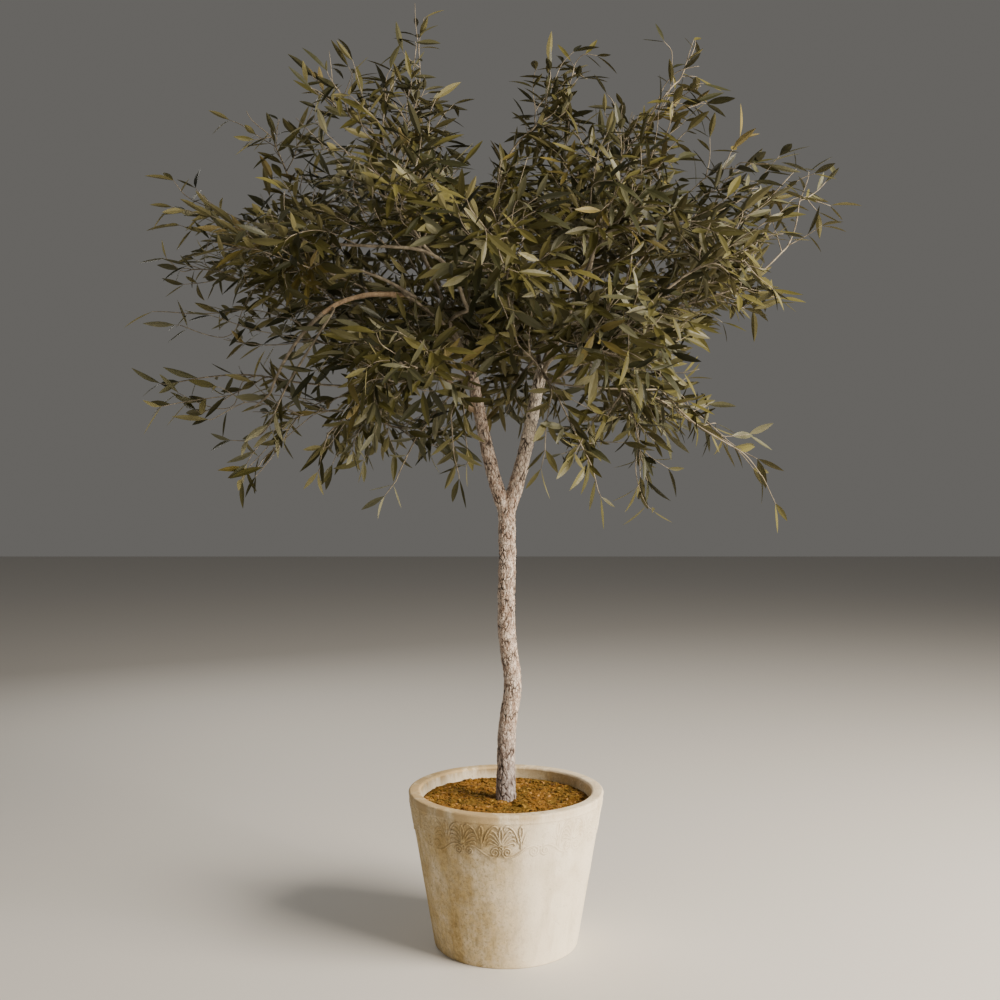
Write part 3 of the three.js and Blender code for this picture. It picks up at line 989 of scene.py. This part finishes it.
class Masses:
    # the masses of foliage as one space that can say whether points are inside it
    def __init__(self, names):
        self.names = names
        clouds = [nodePoints(name) for name in names]
        self.lows = np.array([cloud.min(0) for cloud in clouds])
        self.highs = np.array([cloud.max(0) for cloud in clouds])
        self.middles = dict(zip(names, (self.lows + self.highs) / 2))
        self.trees = [BVHTree.FromPolygons(cloud.tolist(), nodeTriangles(name).tolist())
                      for cloud, name in zip(clouds, names)]

    def holds(self, i, point, slack=0.0015):
        spot, normal, _, distance = self.trees[i].find_nearest(point)
        return distance < slack or (point - spot).dot(normal) < 0

    def allInside(self, points):
        near = ((points[:, None] > self.lows) & (points[:, None] < self.highs)).all(2)
        return all(any(self.holds(i, Vector(point)) for i in np.nonzero(row)[0])
                   for point, row in zip(points, near))


def scatterPoints(masses):
    # points in the masses, a spacing apart and an inset away from the crown's outside
    chooser = np.random.default_rng(crownSettings["seed"])
    ways = chooser.normal(size=(12, 3))
    ways /= np.linalg.norm(ways, axis=1)[:, None]
    cell = crownSettings["spacing"]
    taken = {}
    points = []
    around = [(i, j, k) for i in (-1, 0, 1) for j in (-1, 0, 1) for k in (-1, 0, 1)]
    for number, name in enumerate(masses.names):
        low, high = masses.lows[number], masses.highs[number]
        spacing = cell * crownSettings["sparser"].get(name, 1.0)
        probes = ways * crownSettings["tipInset" if name.startswith("tip") else "inset"]
        tries = int(np.prod(high - low) / cell**3 * 6)
        for point in chooser.uniform(low, high, size=(tries, 3)).tolist():
            i, j, k = [int(value // cell) for value in point]
            near = [other for x, y, z in around for other in taken.get((i + x, j + y, k + z), ())]
            if any(math.dist(point, other) < spacing for other in near):
                continue
            if inGap(point, crownSettings["gapSpare"]):
                continue
            if masses.holds(number, Vector(point)) and masses.allInside(np.array(point) + probes):
                taken.setdefault((i, j, k), []).append(point)
                points.append(point)
    return np.array(points)


def bendTo(start, heading, end, arch):
    # a limb's path to a point: it leaves along its carrier's heading and arches over
    reach = np.linalg.norm(end - start)
    leaving = start + heading * reach * crownSettings["leaving"] + np.array([0, 0, arch * reach])
    arriving = end - (end - leaving) * crownSettings["arriving"]
    count = max(2, int(reach / crownSettings["limbStep"]))
    return bezier(start, leaving, arriving, end, np.linspace(0, 1, count + 1)[1:, None])


def leadTo(tree, base, place, radius):
    # a limb inside the foliage, from a node of the tree to where a limb that shows starts
    inner = bendTo(tree.place[base], tree.heading[base], place, crownSettings["arch"])
    return tree.addChain(inner, base, [radius] * len(inner))


def startTree(limbs):
    # the trunk and the boughs that show, with the height of the crotch
    tree = Tree()
    centres, radii = limbs["stem"]
    foot = tree.addChain(centres, -1, radii, True)
    tips = {}
    for name in ("bough_left", "bough_right"):
        centres, radii = limbs[name]
        tips[name] = tree.addChain(centres, foot, radii, True)
    centres, radii = limbs["bough_left_side"]
    base = int(np.argmin(np.linalg.norm(np.array(tree.place) - centres[0], axis=1)))
    tree.addChain(centres, base, radii, True)
    centres, radii = limbs["bough_left_arch"]
    tip = leadTo(tree, tips["bough_left"], centres[0], radii[0])
    tip = tree.addChain(centres[1:], tip, radii[1:], True)
    centres, radii = limbs["bough_left_fall"]
    tree.addChain(centres, tip, radii)
    return tree, tree.place[foot][2]


def cheapest(tree, place, crotch):
    # the price of the best node to reach a place from, and that node
    places = np.array(tree.place)
    step = place - places
    length = np.linalg.norm(step, axis=1)
    straight = (step * np.array(tree.heading)).sum(1) / np.maximum(length, 1e-9)
    cost = length * (1 + crownSettings["limbTurnCost"] * (1 - straight))
    cost += crownSettings["limbThrift"] * np.array(tree.path)
    cost[places[:, 2] < crotch + crownSettings["lowest"]] = np.inf
    best = int(np.argmin(cost))
    return cost[best], best


def growLimbs(tree, masses, crotch):
    for route, (firstRadius, lastRadius) in crownSettings["guides"]:
        line = smoothCurve(route, 5)
        base = cheapest(tree, line[0], crotch)[1]
        base = leadTo(tree, base, line[0], firstRadius)
        tree.addChain(line[1:], base, np.linspace(firstRadius, lastRadius, len(line) - 1))
    # main limbs run from mass to mass, and on along the slim ones at the tips
    waiting = dict(masses.middles)
    while waiting:
        base, name = min((*cheapest(tree, centre, crotch), name) for name, centre in waiting.items())[1:]
        centre = waiting.pop(name)
        isLow = centre[2] < crotch + crownSettings["lowMass"]
        arch = crownSettings["lowArch" if isLow else "highArch"]
        end = tree.addChain(bendTo(tree.place[base], tree.heading[base], centre, arch), base)
        if name.startswith("tip"):
            points = nodePoints(name)
            spread, axes = np.linalg.svd(points - centre, full_matrices=False)[1:]
            axis = axes[0] if spread[0] > spread[1] * 1.15 else tree.heading[end]
            axis = axis if axis @ (centre - tree.place[base]) > 0 else -axis
            reach = ((points - centre) @ axis).max() - crownSettings["barePart"]
            if reach > crownSettings["limbStep"]:
                way = bendTo(centre, tree.heading[end], centre + axis * reach, crownSettings["tipArch"])
                tree.addChain(way, end)


def growTwigs(tree, points, crotch):
    # the cheapest point joins first: near a twig, little turn, and not too long a way from the fork
    thrift, turnCost = crownSettings["twigThrift"], crownSettings["turnCost"]
    best = np.full(len(points), np.inf)
    source = np.zeros(len(points), int)

    def offer(j):
        step = points - tree.place[j]
        length = np.sqrt((step**2).sum(1)) + 1e-9
        straight = (step @ tree.heading[j]) / length
        cost = length * (1 + turnCost * (1 - straight)) + thrift * tree.path[j]
        better = cost < best
        best[better] = cost[better]
        source[better] = j

    for j in range(len(tree.place)):
        if tree.place[j][2] > crotch + crownSettings["lowest"]:
            offer(j)
    joined = np.zeros(len(points), bool)
    while not joined.all():
        i = int(np.argmin(np.where(joined, np.inf, best)))
        joined[i] = True
        offer(tree.add(points[i], int(source[i])))


def smoothTwigs(tree, firstTwig, rounds=3):
    # each twig's node moves towards the middle between its parent and its children
    place = np.array(tree.place)
    parent = np.array(tree.parent)
    children = np.arange(1, len(place))
    for _ in range(rounds):
        total = np.zeros_like(place)
        count = np.zeros(len(place))
        np.add.at(total, parent[children], place[children])
        np.add.at(count, parent[children], 1)
        inner = (count > 0) & (np.arange(len(place)) >= firstTwig)
        middle = (place[parent[inner]] + total[inner] / count[inner][:, None]) / 2
        place[inner] += crownSettings["easing"] * (middle - place[inner])
    tree.place = list(place)


def thicken(tree):
    # each node's radius from the number of twig ends beyond it
    count = len(tree.place)
    ends = np.zeros(count)
    children = [[] for _ in range(count)]
    for i in range(count - 1, 0, -1):
        ends[i] = max(ends[i], 1)
        ends[tree.parent[i]] += ends[i]
        children[tree.parent[i]].append(i)
    radii = crownSettings["tipRadius"] * ends ** (1 / crownSettings["pipe"])
    return np.maximum(radii, tree.least), ends, children


def findChains(tree, ends, children):
    # each chain starts where a limb forks, and runs on through the heaviest child to a twig's end
    def heaviest(node):
        return max(children[node], key=lambda child: ends[child])

    chains = []
    for i in range(1, len(tree.place)):
        parent = tree.parent[i]
        if tree.skinned[i] or (i == heaviest(parent) and not tree.skinned[parent]):
            continue
        chain = [parent, i]
        while children[chain[-1]] and not tree.skinned[heaviest(chain[-1])]:
            chain.append(heaviest(chain[-1]))
        chains.append(chain)
    return chains


# ---- twigs and leaves

twigSettings = {
    "runOut": (0.012, 0.042),  # of a twig past its last node
    "wander": 0.25,  # how far that stretch turns aside
    "thick": 0.0035,  # limbs with a thicker foot than this are a piece of their own
    "thickSides": 8,
    "sides": 4,
}

leafSettings = {
    "seed": 23,
    "length": (0.045, 0.078),
    "widthShare": (0.18, 0.26),
    "pairs": (0.026, 0.046),  # between pairs of leaves
    "leafyRadius": 0.0027,  # twigs thicker than this are bare
    "leafyLength": 0.42,  # from a twig's end
    "kept": 0.97,
    "keptOutside": 0.46,  # the same where the crown thins out
    "thinsOut": (0.66, 0.95),  # shares of the way from the crown's middle to its outside
    "fromTip": 0.002,  # the last pair, short of a twig's end
    "fromFoot": 0.010,  # no pair is closer than this to a twig's foot
    "angle": (30, 78),  # degrees between a leaf and its twig
    "lastAngle": 0.6,  # share of that angle in the last pair
    "spin": 0.25,  # how far pairs stand off their turn round the twig
    "unevenFacing": 0.35,
    "lengthways": 0.6,  # how much leaves face along their twig
    "lightSeeking": 0.45,
    "outward": 0.55,  # how much leaves face away from the crown's middle
    "droop": 0.34,
    "levelling": 0.3,  # how far leaves turn towards level, above the heights where they hang
    "levelAbove": (1.15, 1.4),
    "furthest": 0.028,  # a leaf's tip past the box of the masses of foliage
    "bend": (0.07, 0.09),  # mean and spread of how far a leaf curls down
    "sway": (0, 0.06),  # the same sideways
    "fold": 0.22,
    "thickness": 0.0005,
    # name: (upper side, underside, share of the sprays)
    "tints": {
        "olive": ((0.054, 0.049, 0.011), (0.096, 0.086, 0.033), 0.38),
        "deep": ((0.026, 0.027, 0.008), (0.058, 0.056, 0.024), 0.25),
        "moss": ((0.094, 0.084, 0.021), (0.126, 0.112, 0.044), 0.22),
        "gold": ((0.124, 0.098, 0.022), (0.148, 0.118, 0.044), 0.03),
        "silver": ((0.082, 0.081, 0.040), (0.136, 0.130, 0.074), 0.12),
    },
}

# Half width of a leaf, as a share of its greatest, at shares of its length.
leafOutline = ((0.10, 0.30), (0.28, 0.82), (0.50, 1.0), (0.73, 0.74), (0.90, 0.32))


def leafFaces():
    # four corners at each station, left, top, right and bottom, and a point at each end
    count = len(leafOutline)
    foot, tip = 4 * count, 4 * count + 1
    upper, under = [], []
    for i in range(count - 1):
        a, b = 4 * i, 4 * i + 4
        upper += [(a, a + 1, b + 1, b), (a + 1, a + 2, b + 2, b + 1)]
        under += [(a + 2, a + 3, b + 3, b + 2), (a + 3, a, b, b + 3)]
    last = 4 * count - 4
    upper += [(foot, 1, 0), (foot, 2, 1), (tip, last, last + 1), (tip, last + 1, last + 2)]
    under += [(foot, 3, 2), (foot, 0, 3), (tip, last + 2, last + 3), (tip, last + 3, last)]
    return upper, under


def leafPoints(feet, along, normal, length, width, bend, sway):
    across = np.cross(normal, along)
    stations = []

    def middleAt(t):
        drop = bend[:, None] * t**2 * length[:, None] * normal
        turn = sway[:, None] * t**2 * length[:, None] * across
        return feet + along * (t * length[:, None]) - drop + turn

    for t, share in leafOutline:
        middle = middleAt(t)
        half = (width * share / 2)[:, None]
        thick = leafSettings["thickness"] / 2 * normal
        raised = leafSettings["fold"] * half * normal
        stations += [middle - across * half + raised, middle + thick,
                     middle + across * half + raised, middle - thick]
    stations += [feet, middleAt(1.0)]
    return np.stack(stations, axis=1)


def growLeaves(tree, radii, chains, middle, half):
    chooser = random.Random(leafSettings["seed"])
    tints = list(leafSettings["tints"])
    weights = [tint[2] for tint in leafSettings["tints"].values()]
    tubes = {"twigs_left": [], "twigs_right": [], "inner_limbs": []}
    leaves = {tint: [] for tint in tints}
    place = np.array(tree.place)
    for chain in chains:
        nodes = place[chain]
        wide = radii[chain].copy()
        wide[0] = wide[1] * 1.15
        ahead = nodes[-1] - nodes[-2]
        ahead /= max(np.linalg.norm(ahead), 1e-9)
        wander = np.array([chooser.gauss(mean, twigSettings["wander"]) for mean in (0, 0, 0.05)])
        tip = nodes[-1] + (ahead + wander) * chooser.uniform(*twigSettings["runOut"])
        path = smoothCurve(np.vstack([nodes, tip]), 3)
        while len(path) > 4 and inGap(path[-1]):
            path = path[:-1]
        wide = np.append(wide, wide[-1] * 0.6)
        wide = np.interp(np.linspace(0, 1, len(path)), np.linspace(0, 1, len(wide)), wide)
        if wide[0] > twigSettings["thick"]:
            tubes["inner_limbs"].append(tube(path, wide, twigSettings["thickSides"]))
        else:
            side = "twigs_left" if path[:, 0].mean() < 0 else "twigs_right"
            tubes[side].append(tube(path, wide, twigSettings["sides"]))
        tint = chooser.choices(tints, weights)[0]
        leaves[tint] += leavesOn(path, wide, chooser, middle, half)
    return tubes, leaves


def leavesOn(path, wide, chooser, middle, half):
    # pairs of leaves from a twig's end back: foot, way, upper side, length, width, bend and sway of each
    steps = np.linalg.norm(np.diff(path, axis=0), axis=1)
    along = np.append(0, np.cumsum(steps))
    ahead, first, second = framesAlong(path)
    out = []
    turn = chooser.uniform(0, math.pi)
    at = along[-1] - leafSettings["fromTip"]
    bareTo = max(leafSettings["fromFoot"], along[-1] - leafSettings["leafyLength"])
    last = True
    while at > bareTo:
        i = int(np.searchsorted(along, at)) - 1
        share = (at - along[i]) / max(steps[i], 1e-9)
        foot = path[i] + (path[i + 1] - path[i]) * share
        if wide[i] > leafSettings["leafyRadius"]:
            break
        outward = (foot - middle) / half
        away = np.linalg.norm(outward)
        thin = smoothStep(*leafSettings["thinsOut"], away)
        kept = leafSettings["kept"] + (leafSettings["keptOutside"] - leafSettings["kept"]) * thin
        for sign in (1, -1):
            if chooser.random() > kept and not last:
                continue
            spin = turn + chooser.gauss(0, leafSettings["spin"])
            side = sign * (math.cos(spin) * first[i] + math.sin(spin) * second[i])
            angle = chooser.uniform(*leafSettings["angle"]) * (leafSettings["lastAngle"] if last else 1)
            angle = math.radians(angle)
            way = ahead[i] * math.cos(angle) + side * math.sin(angle)
            level = 1 - leafSettings["levelling"] * smoothStep(*leafSettings["levelAbove"], foot[2])
            way[2] = way[2] * level - leafSettings["droop"] * chooser.random()
            way /= np.linalg.norm(way)
            up = ahead[i] * leafSettings["lengthways"] + np.array([0, 0, leafSettings["lightSeeking"]])
            up = up + outward / max(away, 0.3) * leafSettings["outward"]
            up = up + np.array([chooser.gauss(0, leafSettings["unevenFacing"]) for _ in up])
            up -= way * up.dot(way)
            up /= max(np.linalg.norm(up), 1e-9)
            length = chooser.uniform(*leafSettings["length"])
            beyond = np.abs(foot + way * length - middle) - half
            if inGap(foot + way * length * 0.6) or beyond.max() > leafSettings["furthest"]:
                continue
            out.append((foot + side * wide[i] * 0.6, way, up, length,
                        length * chooser.uniform(*leafSettings["widthShare"]),
                        chooser.gauss(*leafSettings["bend"]), chooser.gauss(*leafSettings["sway"])))
        turn += math.pi / 2
        at -= chooser.uniform(*leafSettings["pairs"])
        last = False
    return out


def buildCrown(limbs):
    others = ["pot", "soil", "trunk"] + list(limbs)
    names = [name for name in frame["nodes"] if name not in others]
    masses = Masses(names)
    tree, crotch = startTree(limbs)
    growLimbs(tree, masses, crotch)
    firstTwig = len(tree.place)
    points = scatterPoints(masses)
    print("crown of", len(points), "points on", firstTwig, "limb nodes")
    growTwigs(tree, points, crotch)
    smoothTwigs(tree, firstTwig)
    radii, ends, children = thicken(tree)
    chains = findChains(tree, ends, children)
    low, high = masses.lows.min(0), masses.highs.max(0)
    tubes, leaves = growLeaves(tree, radii, chains, (low + high) / 2, (high - low) / 2)
    twigLook = twigMaterial()
    for name, parts in tubes.items():
        mesh = meshFrom(name, *joinTubes(parts))
        smoothShade(mesh)
        replaced = names + ["bough_left_fall"] if name == "inner_limbs" else names
        addPiece(name, mesh, [twigLook], replaced)
    for tint, found in leaves.items():
        buildLeaves(tint, found, names)


def buildLeaves(tint, found, names):
    upper, under = leafFaces()
    points = leafPoints(*[np.array(column) for column in zip(*found)])
    faces = []
    for i in range(len(found)):
        faces += [tuple(v + i * points.shape[1] for v in face) for face in upper + under]
    mesh = meshFrom("leaves_" + tint, points.reshape(-1, 3), faces)
    sides = [0] * len(upper) + [1] * len(under)
    mesh.polygons.foreach_set("material_index", sides * len(found))
    top, bottom = leafSettings["tints"][tint][:2]
    materials = [leafMaterial(tint + "Upper", top, 0.5), leafMaterial(tint + "Under", bottom, 0.68)]
    addPiece("leaves_" + tint, mesh, materials, names)
    print(tint, len(found), "leaves")


def leafMaterial(name, colour, roughness):
    material, shader = startMaterial(name, colour, roughness, 0.32)
    grain = noiseOf(material, objectPlace(material), 260.0, 3, 0.6)
    uneven = rangeOf(material, grain, 0.3, 0.7, roughness - 0.08, roughness + 0.1)
    feed(material, shader, {"Roughness": uneven})
    return material


def twigMaterial():
    material, shader = startMaterial("twigBark", (0.3, 0.24, 0.18), 0.75, 0.3)
    cloud = noiseOf(material, objectPlace(material), 60.0, 5, 0.6)
    colour = rampOf(material, cloud, [(0.3, (0.10, 0.08, 0.055)), (0.5, (0.19, 0.16, 0.115)),
                                      (0.7, (0.34, 0.295, 0.22))])
    grain = noiseOf(material, objectPlace(material), 300.0)
    feed(material, shader, {"Base Color": colour, "Normal": bumpOf(material, grain, 0.2, 0.0004)})
    return material


print("setting up")
addCamera()
addStudio()
print("pot")
buildPot()
print("mulch")
buildMulch()
print("bark")
limbs = readLimbs()
buildBark(limbs)
print("crown")
buildCrown(limbs)
